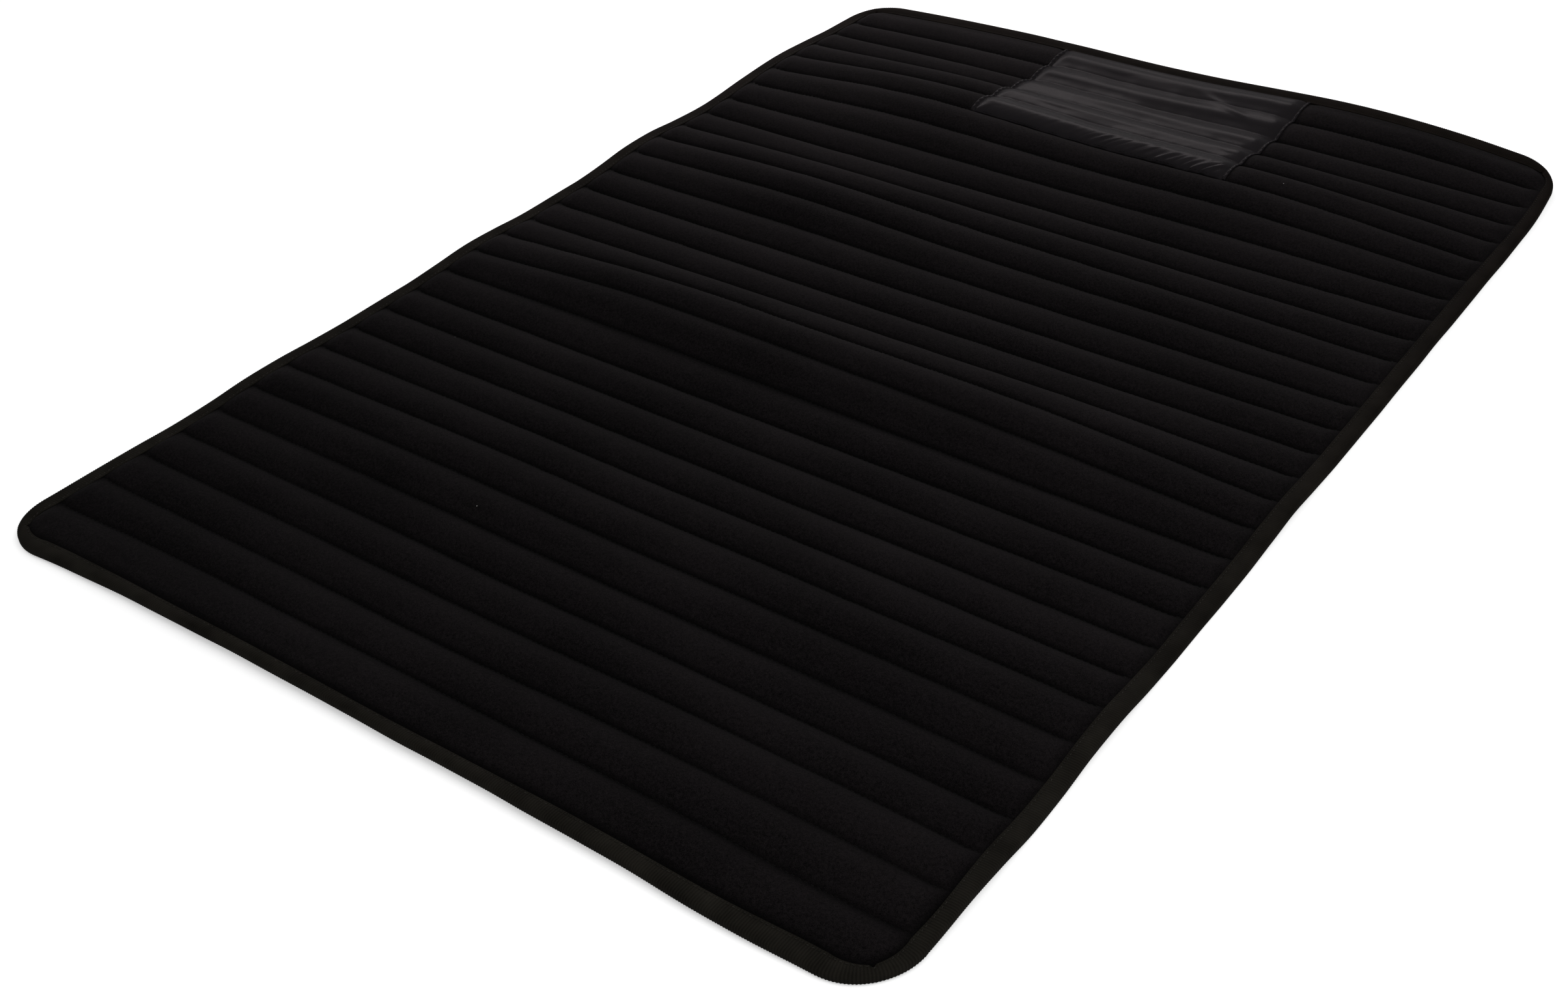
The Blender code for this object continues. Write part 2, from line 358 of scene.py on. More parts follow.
class Surface:
    """A material with one Principled shader, and its nodes."""

    def __init__(self, name, **finish):
        self.material = bpy.data.materials.new(name)
        self.material.use_nodes = True
        self.tree = self.material.node_tree
        self.shader = self.tree.nodes["Principled BSDF"]
        for socket, value in finish.items():
            self.shader.inputs[socket.replace("_", " ")].default_value = value

    def node(self, kind, settings=None, sockets=None, output=0):
        """Adds a node with its settings, and with a number or a wire at each named socket."""
        made = self.tree.nodes.new(kind)
        for setting, value in (settings or {}).items():
            setattr(made, setting, value)
        for socket, value in (sockets or {}).items():
            if isinstance(value, Wire):
                self.tree.links.new(value.socket, made.inputs[socket])
            else:
                made.inputs[socket].default_value = value
        return Wire(self, made.outputs[output])

    def place(self):
        """The point on the mat, in metres."""
        return self.node("ShaderNodeTexCoord", output="Object")

    def between(self, value, low, high):
        """0 where the value is at low or less, and 1 at high or more."""
        sockets = {"Value": value, "From Min": low, "From Max": high}
        return self.node("ShaderNodeMapRange", None, sockets)

    def noise(self, place, scale, detail=2.0, roughness=0.5, stretch=(1, 1, 1)):
        turned = self.node("ShaderNodeMapping", None, {"Vector": place, "Scale": stretch})
        return self.node(
            "ShaderNodeTexNoise",
            None,
            {"Vector": turned, "Scale": scale, "Detail": detail, "Roughness": roughness},
        )

    def mix(self, share, first, second):
        """A colour between two others. The numbers are the mix node's own colour sockets."""
        sockets = {0: share, 6: first, 7: second}
        return self.node("ShaderNodeMix", {"data_type": "RGBA"}, sockets, output=2)

    def feed(self, socket, value):
        self.tree.links.new(value.socket, self.shader.inputs[socket])

    def bump(self, height, distance, strength=1.0):
        normal = self.node(
            "ShaderNodeBump",
            None,
            {"Height": height, "Distance": distance, "Strength": strength},
        )
        self.feed("Normal", normal)


def velour():
    """Brushed black velour: a short nap in clumps, brushed lighter in places, with lint."""
    surface = Surface(
        "brushed velour",
        Roughness=0.95,
        Specular_IOR_Level=0.03,
        Sheen_Weight=0.008,
        Sheen_Roughness=0.50,
        Sheen_Tint=(0.95, 0.88, 0.92, 1),
    )
    place = surface.place()
    fibres = surface.noise(place, 2300, detail=2, roughness=0.6)
    clumps = surface.noise(place, 620, detail=3, roughness=0.6)
    brushed = surface.noise(place, 8, detail=4, roughness=0.55, stretch=(1, 1.8, 1))
    lint = surface.node("ShaderNodeTexVoronoi", None, {"Vector": place, "Scale": 48})
    picked = surface.node("ShaderNodeSeparateColor", None, {"Color": lint.also("Color")})
    speck = surface.between(lint, 0.020, 0.010) * surface.between(picked, 0.93, 0.935)
    dark = (0.0008, 0.00066, 0.00072, 1)
    light = (0.0082, 0.0067, 0.0072, 1)
    # Painted shade at the near left and painted light at the near right, added to the nap's tone.
    width = surface.node("ShaderNodeSeparateXYZ", None, {"Vector": place})
    near = surface.between(width.also("Y"), -0.05, -0.35)
    painted_light_to_right = (width - 0.12) * near
    shade = fibres * 0.52 + clumps * 0.30 + brushed * 0.18 + painted_light_to_right * 0.08
    nap = surface.mix(surface.between(shade, 0.40, 0.62), dark, light)
    # The nap is darkened by the painted shade along the seams and under the tape.
    painted_shade_share = surface.node("ShaderNodeAttribute", {"attribute_name": "painted_shade"}, output="Fac")
    nap = surface.mix(painted_shade_share * 0.85, nap, (0.0003, 0.00024, 0.00026, 1))
    surface.feed("Base Color", surface.mix(speck, nap, (0.30, 0.29, 0.28, 1)))
    surface.bump(fibres * 0.6 + clumps * 0.4, 0.0005, 0.8)
    return surface.material


def ribbed_tape():
    """Grosgrain tape: fine yarns along its length, over the ribs of its own mesh."""
    surface = Surface(
        "grosgrain tape",
        Roughness=0.85,
        Specular_IOR_Level=0.02,
        Sheen_Weight=0.004,
        Sheen_Roughness=0.5,
    )
    along = surface.node("ShaderNodeUVMap", {"uv_map": "tape"})
    split = surface.node("ShaderNodeSeparateXYZ", None, {"Vector": along})
    yarn = (split.also("Y") * (2 * math.pi / 0.0007)).math("SINE")
    rib = (split * (2 * math.pi / RIB_PITCH)).math("COSINE")
    wear = surface.noise(surface.place(), 60, detail=3)
    # The colour steps lighter and darker with each rib, a painted shade of the ribs, over random
    # wear.
    shade = surface.between(rib * 0.15 + wear, 0.2, 0.9)
    # Painted light at the near end and painted shade at the far end: the tape darkens from near to
    # far.
    painted_light_near = surface.mix(shade, (0.0044, 0.0039, 0.0031, 1), (0.0132, 0.0119, 0.0095, 1))
    painted_shade_far = surface.mix(shade, (0.0026, 0.0019, 0.0015, 1), (0.0074, 0.0056, 0.0045, 1))
    length = surface.node("ShaderNodeSeparateXYZ", None, {"Vector": surface.place()}, output="Y")
    surface.feed("Base Color", surface.mix(surface.between(length, -0.30, 0.40), painted_light_near, painted_shade_far))
    surface.bump(yarn * 0.5 + 0.5, 0.00008, 0.6)
    return surface.material


def satin():
    """Smooth black satin with a soft shine and a very fine weave."""
    surface = Surface(
        "black satin", Specular_IOR_Level=0.0070, Sheen_Weight=0.01, Sheen_Roughness=0.3
    )
    place = surface.place()
    weave = surface.noise(place, 1500, detail=2, stretch=(1, 4, 1))
    soft = surface.noise(place, 30, detail=3)
    dark, light = (0.0070, 0.0061, 0.0068, 1), (0.0139, 0.0124, 0.0135, 1)
    surface.feed("Base Color", surface.mix(weave, dark, light))
    surface.feed("Roughness", soft * 0.10 + 0.23)
    surface.bump(weave, 0.00005, 0.35)
    return surface.material


def thread(name, dark, light, shine, far_shade=1.0):
    """Polyester thread with its twist; painted shade darkens it towards the far end, down to
    far_shade.
    """
    surface = Surface(name, Specular_IOR_Level=shine)
    twist = surface.noise(surface.place(), 2600, detail=1)
    rubbed = surface.noise(surface.place(), 260, detail=1)
    length = surface.node("ShaderNodeSeparateXYZ", None, {"Vector": surface.place()}, output="Y")
    painted_far_shade = surface.between(length, -0.30, 0.30) * (1 - far_shade)
    shade = surface.between(rubbed * 0.7 + twist * 0.3, 0.38, 0.62) * (1 - painted_far_shade)
    surface.feed("Base Color", surface.mix(shade, (*dark, 1), (*light, 1)))
    surface.feed("Roughness", twist * 0.2 + 0.5)
    return surface.material


def grip_backing():
    """The matt underside, a woven cloth with a thin rubbery coat."""
    surface = Surface("grip backing", Specular_IOR_Level=0.2)
    place = surface.place()
    grain = surface.noise(place, 1200, detail=3)
    patchy = surface.noise(place, 14, detail=3)
    shade = surface.between(grain * 0.6 + patchy * 0.4, 0.3, 0.7)
    dark, light = (0.010, 0.010, 0.011, 1), (0.019, 0.019, 0.020, 1)
    surface.feed("Base Color", surface.mix(shade, dark, light))
    surface.feed("Roughness", patchy * 0.2 + 0.7)
    surface.bump(grain, 0.0002, 0.6)
    return surface.material


def foam():
    """Dark open-celled foam, hidden between the two cloths."""
    surface = Surface("foam padding", Specular_IOR_Level=0.1, Roughness=0.95)
    place = surface.place()
    cells = surface.node("ShaderNodeTexVoronoi", None, {"Vector": place, "Scale": 900})
    surface.feed("Base Color", surface.mix(cells, (0.06, 0.06, 0.062, 1), (0.11, 0.11, 0.115, 1)))
    surface.bump(cells, 0.0003, 0.8)
    return surface.material


# Pieces

def read_points(mesh):
    points = np.empty(len(mesh.vertices) * 3)
    mesh.vertices.foreach_get("co", points)
    return points.reshape(-1, 3)


def move_points(mesh, points):
    mesh.vertices.foreach_set("co", points.ravel())
    mesh.update()


def cloth(name, columns, rows, shape):
    """A grid of cloth. shape turns the numbers of its columns and rows into x, y and z."""
    bpy.ops.object.select_all(action="DESELECT")
    bpy.ops.mesh.primitive_grid_add(x_subdivisions=columns, y_subdivisions=rows, size=1)
    piece = bpy.context.active_object
    piece.name = piece.data.name = name
    points = read_points(piece.data)
    column = np.rint((points[:, 0] + 0.5) * columns).astype(int)
    row = np.rint((points[:, 1] + 0.5) * rows).astype(int)
    move_points(piece.data, settled(np.column_stack(shape(column, row))))
    return piece


def thicken(piece, thickness):
    """Gives a cloth its thickness below the surface that was drawn."""
    modifier = piece.modifiers.new("thickness", "SOLIDIFY")
    modifier.thickness = thickness
    modifier.offset = -1
    bpy.context.view_layer.objects.active = piece
    bpy.ops.object.modifier_apply(modifier=modifier.name)


def dress(piece, material, slot, *nodes):
    """Gives a piece its material, and declares its body and the solids it replaces. Its slot is not
    used.
    """
    piece.data.shade_smooth()
    piece.data.materials.clear()
    piece.data.materials.append(material)
    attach(piece, "root")
    if nodes:
        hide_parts(*nodes)


def mat_rows(steps):
    """Places along Y from one hidden edge to the other, closer together at the seams.

    The rows beyond the tape's inner edge, on either side, reach to the tape's fold.
    """
    part = (1 - np.cos(math.pi * np.arange(steps) / steps)) / 2
    inner = (np.arange(CHANNELS)[:, None] + part).ravel() * PITCH - INNER_Y
    hidden = INNER_Y + UNDER_TAPE * np.array([0.0, 0.1, 0.2, 0.3, 0.4, 0.5, 0.75, 1.0])
    return np.concatenate([-hidden[:0:-1], inner, hidden])


def mat_columns(middle):
    """Shares of the half width from -1 to 1, closer together where the channels end."""
    edge = 1 - np.array([0.0, 0.003, 0.008, 0.015, 0.024, 0.034, 0.046, 0.060])
    inner = np.linspace(-edge[-1], edge[-1], middle)
    return np.concatenate([-edge[:-1], inner, edge[-2::-1]])


def mat_sheet(name, steps, middle, height):
    """A cloth over the whole mat, out to the fold of the tape."""
    rows = mat_rows(steps)
    columns = mat_columns(middle)

    def shape(column, row):
        y = rows[row]
        x = columns[column] * half_width(y, INNER_RADIUS + UNDER_TAPE, UNDER_TAPE)
        painted_shades.append(painted_shade(x, y))
        return x, y + seam_wander(x, y), height(x, y)

    painted_shades = []
    piece = cloth(name, len(columns) - 1, len(rows) - 1, shape)
    # Keeps the painted shade along the seams and under the tape for the velour's colour.
    piece.data.attributes.new("painted_shade", "FLOAT", "POINT").data.foreach_set("value", painted_shades[0])
    return piece


def make_face():
    """The velour face, sewn down into channels."""
    piece = mat_sheet("velour_face", 14, 110, face_top)
    thicken(piece, FACE_THICKNESS)
    dress(piece, velour(), "velour", "face_fabric")


def make_padding():
    """The foam, between the velour's underside and the backing's top side."""
    def below_face(x, y):
        return face_top(x, y) - FACE_THICKNESS - GAP

    def above_backing(x, y):
        return np.minimum(underside(x, y) + BACKING_THICKNESS + GAP, below_face(x, y) - GAP)

    piece = mat_sheet("padding_sheet", 6, 50, below_face)
    lower = mat_sheet("padding_below", 6, 50, above_backing)
    close_between(piece, lower)
    dress(piece, foam(), "foam", "foam_padding")


def close_between(piece, lower):
    """Closes a cloth with another of the same grid as its underside."""
    shell = bmesh.new()
    shell.from_mesh(piece.data)
    rim = [edge for edge in shell.edges if edge.is_boundary]
    shell.from_mesh(lower.data)
    shell.verts.ensure_lookup_table()
    shell.verts.index_update()
    count = len(piece.data.vertices)
    for edge in rim:
        start, end = edge.verts
        under = [shell.verts[vertex.index + count] for vertex in (end, start)]
        shell.faces.new((start, end, *under))
    bmesh.ops.recalc_face_normals(shell, faces=shell.faces[:])
    shell.to_mesh(piece.data)
    shell.free()
    bpy.data.objects.remove(lower)


def make_backing():
    """The underside's cloth, laid on the floor between the ridges."""
    def top(x, y):
        from_seam = np.minimum(across(y) % 1, 1 - across(y) % 1) * PITCH
        pinch = BACKING_PINCH * np.clip(1 - from_seam / SEAM_PINCH_WIDTH, 0, 1)
        return underside(x, y) + BACKING_THICKNESS + pinch * ramp(inset(x, y), 0, 0.004)

    piece = mat_sheet("backing_cloth", 8, 50, top)
    thicken(piece, BACKING_THICKNESS)
    keep_above_floor(piece)
    dress(piece, grip_backing(), "backing", "backing_sheet")


def keep_above_floor(piece):
    points = read_points(piece.data)
    points[:, 2] = np.maximum(points[:, 2], 0)
    move_points(piece.data, points)


def rim_path(spacing):
    """Stations round the tape's inner edge: point, outward direction, dip and length so far."""
    straight_x, straight_y = INNER_X - INNER_RADIUS, INNER_Y - INNER_RADIUS
    middle_radius = INNER_RADIUS + TAPE_WIDTH / 2
    legs = [
        ((straight_x, -straight_y), 0, 2 * straight_y),
        ((straight_x, straight_y), 90, 2 * straight_x),
        ((-straight_x, straight_y), 180, 2 * straight_y),
        ((-straight_x, -straight_y), 270, 2 * straight_x),
    ]
    points, outward, dip = [], [], []
    for (centre_x, centre_y), angle, length in legs:
        count = round(length / spacing)
        turn = math.radians(angle)
        normal = np.array([math.cos(turn), math.sin(turn)])
        forward = np.array([-normal[1], normal[0]])
        start = np.array([centre_x, centre_y]) + INNER_RADIUS * normal
        steps = np.arange(count) / count * length
        points.append(start + steps[:, None] * forward)
        outward.append(np.repeat(normal[None], count, axis=0))
        dip.append(np.zeros(count))
        corner = np.array([centre_x, centre_y]) + length * forward
        count = round(math.pi / 2 * middle_radius / spacing)
        turns = turn + np.arange(count) * spacing / middle_radius
        arc = np.column_stack([np.cos(turns), np.sin(turns)])
        points.append(corner + INNER_RADIUS * arc)
        outward.append(arc)
        from_point = abs((turns - turn) / (math.pi / 4) - 1)
        notch = CORNER_NOTCH * np.clip(1 - from_point / 0.07, 0, 1)
        dip.append(CORNER_DIP * (1 - from_point) + notch)
    points, outward, dip = (np.concatenate(parts) for parts in (points, outward, dip))
    dip = np.maximum(dip + narrowing(points), 0)
    middle = points + outward * TAPE_WIDTH / 2
    step = np.linalg.norm(np.roll(middle, -1, axis=0) - middle, axis=1)
    return points, outward, dip, np.concatenate([[0], np.cumsum(step)[:-1]])


def narrowing(points):
    """How far the tape's inner edge strays outwards, where the tape was folded narrower."""
    x, y = points.T
    drift = 0.0005 * noise(x, y, 0.05, 0.05, 23)
    near_corner = 0.0016 * falloff(y + 0.385, 0.030)
    far_corner = 0.0024 * ramp(y, 0.24, 0.38) * ramp(INNER_Y - y, 0.002, 0.014)
    right_side = (near_corner + far_corner) * (x > 0.2)
    return drift + right_side + near_fold(x) * (y < 0.005 - INNER_Y)


def widening(points):
    """How far the tape's outer edge strays outwards along the near edge's right part."""
    x, y = points.T
    return 0.0019 * falloff(x - 0.225, 0.055) * ramp(y + INNER_Y, 0.012, 0)


def off_edge(distance, dip):
    """A distance out from the tape's inner edge, where that edge dips outwards at a corner."""
    return distance + dip * (1 - distance / TAPE_WIDTH)


def rim_height(points):
    """The mat's height off the floor along the tape."""
    return fold_height(points[:, 0], points[:, 1])


def tape_outer():
    """The tape's outer side: distance out from its inner edge, and height, from below to above."""
    top = RIM_HEIGHT
    return np.array(
        [
            (0.0000, 0.0003),
            (0.0016, 0.0005),
            (0.0030, 0.0002),
            (0.0086, 0.0002),
            (0.0096, 0.0006),
            (0.0100, 0.0015),
            (0.0100, top - 0.0014),
            (0.0096, top - 0.0005),
            (0.0086, top),
            (0.0056, top + 0.0001),
            (0.0028, top),
            (STITCH_LINE, top - 0.0004),
            (0.0006, top - 0.0002),
            (0.0000, top - 0.0003),
        ]
    )


def tape_inner():
    """The tape's inner side, from above to below, against the velour and the backing."""
    top = RIM_HEIGHT
    return np.array(
        [
            (0.0000, top - TAPE_THICKNESS - 0.0003),
            (0.0086, top - TAPE_THICKNESS),
            (0.0092, top - 0.0016),
            (0.0092, 0.0016),
            (0.0086, TAPE_THICKNESS + 0.0002),
            (0.0000, TAPE_THICKNESS + 0.0003),
        ]
    )


def make_tape():
    """The folded tape, lofted round the rim, with a rib at every other station."""
    points, outward, dip, length = rim_path(RIB_PITCH / 2)
    if len(points) % 2:
        points, outward, dip, length = points[:-1], outward[:-1], dip[:-1], length[:-1]
    outer = tape_outer()
    tangent = np.gradient(outer, axis=0)
    normal = np.column_stack([tangent[:, 1], -tangent[:, 0]])
    normal /= np.linalg.norm(normal, axis=1)[:, None]
    rib = np.where(np.arange(len(points)) % 2, -0.5, 0.5) * RIB_DEPTH
    flatter_inside = 0.35 + 0.65 * ramp(outer[:, 0], 0, TAPE_WIDTH)
    ribbed = outer[None] + rib[:, None, None] * (normal * flatter_inside[:, None])[None]
    smooth_side = np.repeat(tape_inner()[None], len(points), axis=0)
    section = np.concatenate([ribbed, smooth_side], axis=1)
    waver = 1 + 0.035 * noise(length, 0 * length, 0.03, 1, 21) + widening(points) / TAPE_WIDTH
    out = off_edge(section[..., :1], dip[:, None, None])
    plane = points[:, None] + out * waver[:, None, None] * outward[:, None]
    place = np.clip(points, [-INNER_X, -INNER_Y], [INNER_X, INNER_Y])
    at_far_end = ramp(points[:, 1], INNER_Y - INNER_RADIUS, INNER_Y)[:, None]
    tilt = FAR_TILT * at_far_end * section[..., 0] / TAPE_WIDTH
    height = rim_height(place)[:, None] + np.maximum(section[..., 1] + tilt, 0)
    vertices = settled(np.concatenate([plane, height[..., None]], axis=2))
    around = np.concatenate([[0], np.cumsum(np.linalg.norm(np.diff(section[0], axis=0), axis=1))])
    piece = loop_mesh("ribbed_tape", vertices, length, around)
    dress(piece, ribbed_tape(), "tape", "edge_binding")


def loop_mesh(name, vertices, along, around):
    """A closed strip round the rim, from its sections, with a UV map in metres on it."""
    stations, places = vertices.shape[:2]
    station, place = np.meshgrid(np.arange(stations), np.arange(places), indexing="ij")
    following = (station + 1) % stations
    after = (place + 1) % places
    corners = np.stack(
        [
            station * places + place,
            following * places + place,
            following * places + after,
            station * places + after,
        ],
        axis=-1,
    ).reshape(-1, 4)
    mesh = bpy.data.meshes.new(name)
    mesh.from_pydata(vertices.reshape(-1, 3).tolist(), [], corners.tolist())
    end = 2 * along[-1] - along[-2]
    u = np.stack([station, station + 1, station + 1, station], axis=-1).reshape(-1, 4)
    v = np.stack([place, place, place + 1, place + 1], axis=-1).reshape(-1, 4)
    coordinates = np.stack([np.append(along, end)[u], np.append(around, around[-1])[v]], axis=-1)
    layer = mesh.uv_layers.new(name="tape")
    layer.data.foreach_set("uv", coordinates.ravel())
    mesh.validate()
    return placed(mesh)


def placed(mesh):
    """Puts a closed mesh in the scene, with its faces turned outwards."""
    piece = bpy.data.objects.new(mesh.name, mesh)
    bpy.context.scene.collection.objects.link(piece)
    mesh.calc_loop_triangles()
    faces = np.empty(len(mesh.loop_triangles) * 3, np.int32)
    mesh.loop_triangles.foreach_get("vertices", faces)
    volume = np.linalg.det(read_points(mesh)[faces.reshape(-1, 3)]).sum()
    if volume < 0:
        mesh.flip_normals()
    return piece


def patch_field(x, y):
    """The satin's height above the velour's own: it spans the seams, and gathers at its edges."""
    side = PATCH_HIGH[0] - abs(x)
    near = y - PATCH_LOW[1]
    far = INNER_Y - y
    free = ramp(np.minimum(np.minimum(side - HEM_BEAD, near), far + 0.004), 0, 0.016)
    part = across(y) % 1
    valley = 1 - smooth(4 * part * (1 - part))
    spanned = CHANNEL_RISE * (0.10 + 0.36 * free) * valley * ramp(np.minimum(side, near), 0, 0.004)
    pleats = abs(noise(x - 0.9 * near, y, 0.0042, 0.05, 11)) + 0.3 * noise(x, y, 0.014, 0.05, 12)
    pleats *= np.exp(-near / 0.0080) * ramp(near, 0, 0.0018) * ramp(side, 0, 0.006)
    gathers = pleats * (0.0005 + PLEAT_RISE * ramp(x, -0.07, 0.08))
    from_x, from_y = x - WRINKLE_X, y - (INNER_Y - WRINKLE_FROM_TAPE)
    way_x, way_y = WRINKLE_WAY
    across_fold = from_y * way_x - from_x * way_y
    along_fold = from_x * way_x + from_y * way_y
    wrinkle = WRINKLE_RISE * falloff(across_fold, 0.0038) * ramp(abs(along_fold), 0.050, 0)
    slack = 0.00030 * noise(x + 0.6 * y, y, 0.030, 0.012, 13) * free
    return spanned + gathers + wrinkle * free + slack


def patch_top(x, y):
    """The field, the groove of the stitches and, outside it, the turned hem's twisted bead."""
    side = PATCH_HIGH[0] - abs(x)
    into_bead = (side - HEM_BEAD / 2) / (HEM_BEAD / 2)
    twist = np.sin(2 * math.pi * (y / TWIST_PITCH + np.sign(x) * 0.22 * into_bead))
    bead = (BEAD_RISE + BEAD_TWIST * twist) * np.sqrt(np.clip(1 - into_bead**2, 0, 1))
    groove = GROOVE_DEPTH * falloff(side - HEM_BEAD - 0.0006, 0.0010)
    lifted = seam_pinch(x, y) * ramp(y - PATCH_LOW[1], 0, 0.004)
    base = face_top(x, y) + lifted + GAP + PATCH_THICKNESS
    return base + np.maximum(patch_field(x, y), 0) + bead - groove


def make_patch():
    """The satin patch, with its columns closer together at the hem's bead."""
    hem = HEM_BEAD * 1.5
    edge = np.concatenate([np.linspace(0, hem, 10)[:-1], [hem, 0.006, 0.008]])
    half = PATCH_HIGH[0]
    inner = np.linspace(-half + 0.009, half - 0.009, 190)
    columns = np.concatenate([-half + edge, inner, half - edge[::-1]])
    rows = np.linspace(PATCH_LOW[1], PATCH_HIGH[1], 158)

    def shape(column, row):
        x, y = columns[column], rows[row]
        hem_wave = 0.0006 * noise(x, y, 0.008, 1, 19) * np.exp(-(y - PATCH_LOW[1]) / 0.004)
        return x + edge_stray(x, y), y + seam_wander(x, y) + hem_wave, patch_top(x, y)

    piece = cloth("satin_patch", len(columns) - 1, len(rows) - 1, shape)
    thicken(piece, PATCH_THICKNESS)
    dress(piece, satin(), "satin", "patch_panel")


def edge_stray(x, y):
    """The patch's sides waver a little, as a hand-guided seam does."""
    return 0.0005 * noise(y, x * 0, 0.022, 1, 17) * np.sign(x)


def one_stitch():
    """A stitch one unit long: its points and faces."""
    bpy.ops.object.select_all(action="DESELECT")
    bpy.ops.mesh.primitive_uv_sphere_add(segments=5, ring_count=3, radius=0.5)
    stitch = bpy.context.active_object
    bpy.ops.object.mode_set(mode="EDIT")
    bpy.ops.mesh.select_all(action="SELECT")
    bpy.ops.transform.rotate(value=math.pi / 2, orient_axis="Y", center_override=(0, 0, 0))
    bpy.ops.object.mode_set(mode="OBJECT")
    points = np.array([vertex.co[:] for vertex in stitch.data.vertices])
    faces = [tuple(polygon.vertices) for polygon in stitch.data.polygons]
    bpy.data.objects.remove(stitch)
    return points, faces


STITCH_POINTS, STITCH_FACES = one_stitch()


def stitches(name, middles, ahead, size, material, slot, slant=0.0):
    """A row of stitches, each laid along its own direction on the cloth.

    size is a stitch's length, width and height, and slant turns it away from the row.
    """
    ahead = ahead / np.linalg.norm(ahead, axis=1)[:, None]
    side = np.cross([0.0, 0.0, 1.0], ahead)
    side /= np.linalg.norm(side, axis=1)[:, None]
    up = np.cross(ahead, side)
    uneven = np.random.default_rng(31).uniform(-1, 1, (len(middles), 2))
    slants = slant + 0.16 * uneven[:, :1]
    turned = np.cos(slants) * ahead + np.sin(slants) * side
    across_it = np.cross(up, turned)
    shape = STITCH_POINTS * size
    lengths = 1 + 0.18 * uneven[:, 1:]
    places = (
        middles[:, None]
        + (shape[:, 0] * lengths)[..., None] * turned[:, None]
        + shape[None, :, 1:2] * across_it[:, None]
        + shape[None, :, 2:] * up[:, None]
    )
    faces = [
        tuple(index + copy * len(shape) for index in face)
        for copy in range(len(middles))
        for face in STITCH_FACES
    ]
    mesh = bpy.data.meshes.new(name)
    mesh.from_pydata(settled(places).reshape(-1, 3).tolist(), [], faces)
    dress(placed(mesh), material, slot)


def on_surface(x, y, height, step_x, step_y):
    """Points on a surface and the way along it, for stitches that run along (step_x, step_y)."""
    small = 0.0008

    def on(x, y):
        return np.column_stack([x, y + seam_wander(x, y), height(x, y)])

    point = on(x, y)
    return point, on(x + step_x * small, y + step_y * small) - point


def make_seam_stitches(material):
    """The quilting seams' thread, above in the valleys and below on the underside."""
    along = np.arange(-INNER_X + 0.003, INNER_X - 0.003, SEAM_STITCH)
    seams = -INNER_Y + np.arange(1, CHANNELS) * PITCH
    x, y = (grid.ravel() for grid in np.meshgrid(along, seams))
    inside = abs(x) < half_width(y) - 0.002
    under_patch = (abs(x) < PATCH_HIGH[0]) & (y > PATCH_LOW[1] - 0.001)
    seen = inside & ~under_patch
    point, ahead = on_surface(x[seen], y[seen], face_top, 1, 0)
    point[:, 2] += 0.00005
    stitches("seam_stitches", point, ahead, SEAM_THREAD, material, "velour")
    point, ahead = on_surface(x[inside], y[inside], underside, 1, 0)
    point[:, 2] += 0.00030
    stitches("underside_stitches", point, ahead, SEAM_THREAD, material, "backing")


def make_tape_stitches(material):
    """One row through the tape near its inner edge, seen above and below."""
    points, outward, dip, _ = rim_path(TAPE_STITCH)
    middles = points + outward * off_edge(STITCH_LINE, dip)[:, None]
    ahead = np.roll(middles, -1, axis=0) - middles
    floor = rim_height(np.clip(points, [-INNER_X, -INNER_Y], [INNER_X, INNER_Y]))
    rise = np.roll(floor, -1) - floor
    ahead = np.column_stack([ahead, rise])
    for name, height in (("tape_stitches", RIM_HEIGHT - 0.00028), ("tape_stitches_below", 0.00040)):
        place = np.column_stack([middles, floor + height])
        stitches(name, place, ahead, TAPE_THREAD, material, "tape", slant=0.14)


def make_patch_stitches(material):
    """Topstitching inside the bead on both sides, and along the near edge."""
    line = PATCH_HIGH[0] - HEM_BEAD - 0.0004
    y = np.arange(PATCH_LOW[1] + 0.003, PATCH_HIGH[1] - 0.001, PATCH_STITCH)
    x = np.arange(-line + 0.002, line - 0.001, PATCH_STITCH)
    near = np.full(len(x), PATCH_LOW[1] + 0.0012)
    rows = []
    for side in (-1, 1):
        seam = np.full(len(y), side * line)
        point, ahead = on_surface(seam, y, patch_top, 0, 1)
        point[:, 0] += edge_stray(seam, y)
        rows.append((point, ahead))
    rows.append(on_surface(x, near, patch_top, 1, 0))
    point, ahead = (np.concatenate(parts) for parts in zip(*rows))
    stitches("patch_stitches", point, ahead, PATCH_THREAD, material, "satin")


# Studio

def make_floor():
    """A pale floor that glows a little for the camera alone, so that it shows white."""
    bpy.ops.object.select_all(action="DESELECT")
    bpy.ops.mesh.primitive_plane_add(size=30, location=(0, 0, 0))
    floor = bpy.context.active_object
    floor.name = "floor"
    grey = (0.88, 0.88, 0.88, 1)
    surface = Surface("studio floor", Base_Color=grey, Roughness=0.9, Specular_IOR_Level=0.0)
    strength = surface.node("ShaderNodeLightPath", output="Is Camera Ray") * 0.40
    glow = surface.node("ShaderNodeEmission", None, {"Color": (1, 1, 1, 1), "Strength": strength})
    plain = Wire(surface, surface.shader.outputs[0])
    both = surface.node("ShaderNodeAddShader", None, {0: plain, 1: glow})
    out = surface.tree.nodes["Material Output"]
    surface.tree.links.new(both.socket, out.inputs["Surface"])
    floor.data.materials.append(surface.material)


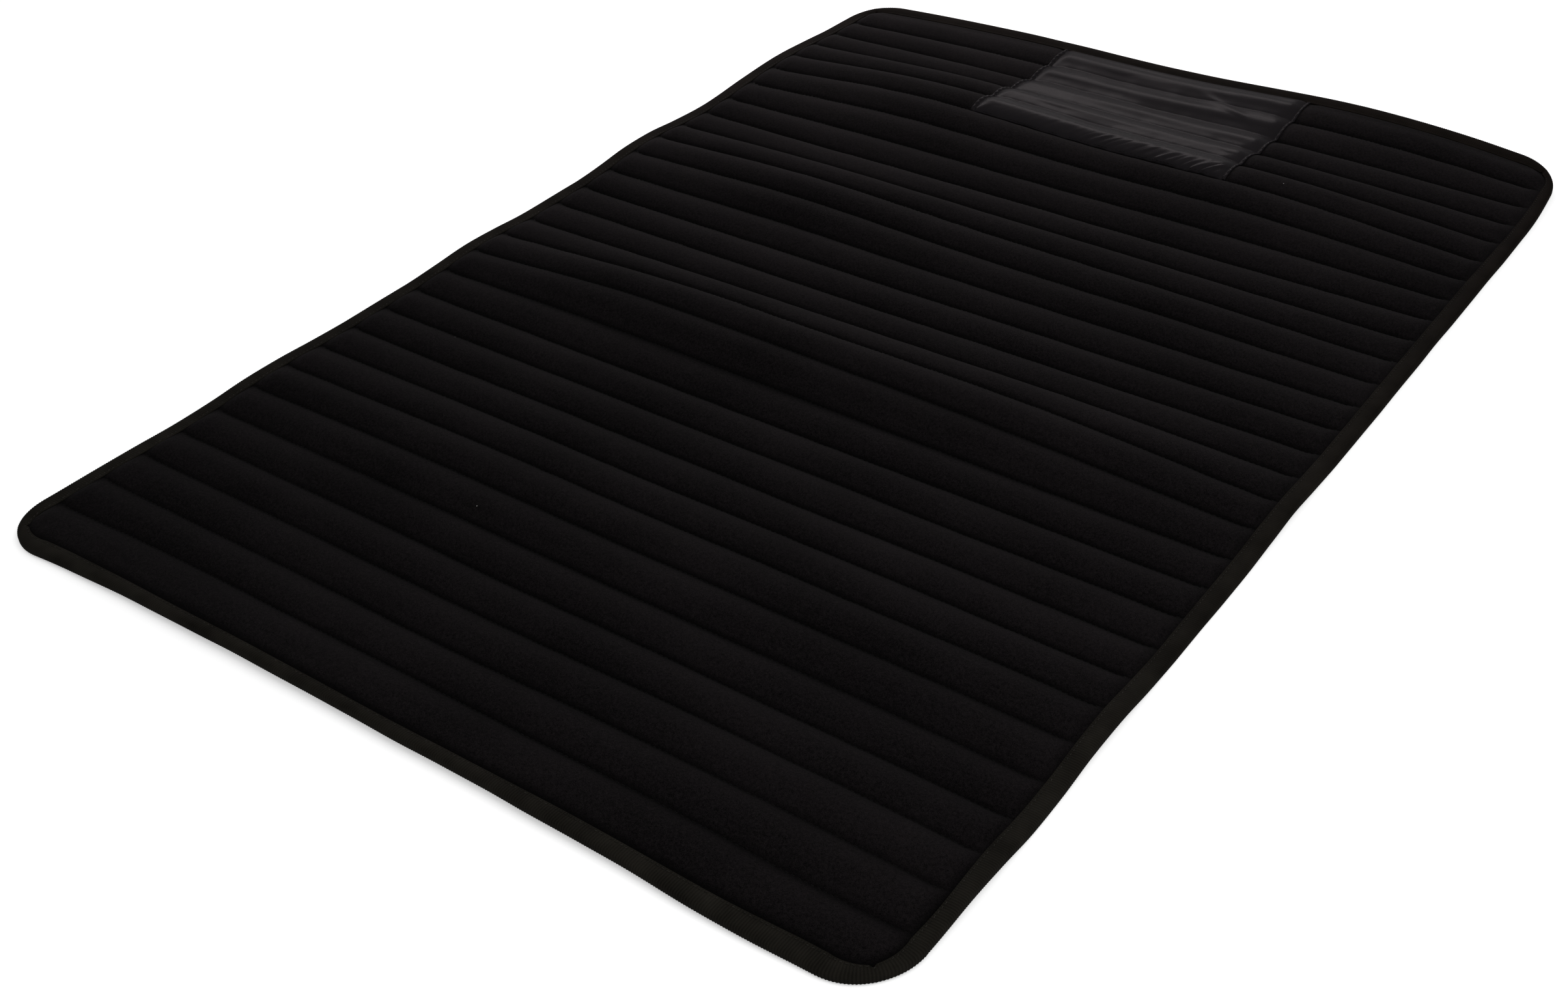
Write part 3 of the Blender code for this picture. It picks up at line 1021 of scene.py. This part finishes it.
def make_world():
    """White where the camera looks straight at it, and soft grey light otherwise."""
    world = bpy.data.worlds.new("studio air")
    bpy.context.scene.world = world
    world.use_nodes = True
    tree = world.node_tree
    background = tree.nodes["Background"]
    path = tree.nodes.new("ShaderNodeLightPath")
    seen = tree.nodes.new("ShaderNodeMapRange")
    tree.links.new(path.outputs["Is Camera Ray"], seen.inputs["Value"])
    seen.inputs["To Min"].default_value = 0.50
    seen.inputs["To Max"].default_value = 1.0
    background.inputs["Color"].default_value = (1, 1, 1, 1)
    tree.links.new(seen.outputs["Result"], background.inputs["Strength"])


def make_lamp(name, place, aim, size, power, colour=(1, 1, 1)):
    lamp = bpy.data.lights.new(name, "AREA")
    lamp.color = colour
    lamp.shape = "RECTANGLE"
    lamp.size, lamp.size_y = size
    lamp.energy = power
    thing = bpy.data.objects.new(name, lamp)
    thing.location = place
    direction = Vector(aim) - Vector(place)
    thing.rotation_euler = direction.to_track_quat("-Z", "Y").to_euler()
    thing.visible_camera = False
    bpy.context.scene.collection.objects.link(thing)


def make_camera():
    camera = bpy.data.cameras.new("camera")
    camera.sensor_width = 36
    camera.lens = CAMERA_LENS
    thing = bpy.data.objects.new("camera", camera)
    thing.location = CAMERA_PLACE
    thing.rotation_euler = [math.radians(angle) for angle in CAMERA_TURN]
    bpy.context.scene.collection.objects.link(thing)
    bpy.context.scene.camera = thing


make_floor()
make_face()
make_padding()
make_backing()
make_tape()
make_patch()
dark_thread = thread("black thread", (0.0010, 0.0009, 0.0009), (0.0030, 0.0026, 0.0025), 0.08)
tape_thread = thread("tape thread", (0.005, 0.0046, 0.0037), (0.020, 0.018, 0.0155), 0.06, 0.2)
make_seam_stitches(dark_thread)
make_tape_stitches(tape_thread)
make_patch_stitches(dark_thread)
make_world()
make_lamp("back softbox", (-0.47, 0.86, 0.37), (-0.1, 0.2, 0), (0.8, 0.22), 4.1, (1.0, 0.91, 0.92))
make_lamp("front softbox", (1.1, -0.6, 1.6), (0, 0, 0), (1.6, 1.6), 19)
make_camera()
bpy.context.scene.view_settings.view_transform = "Standard"
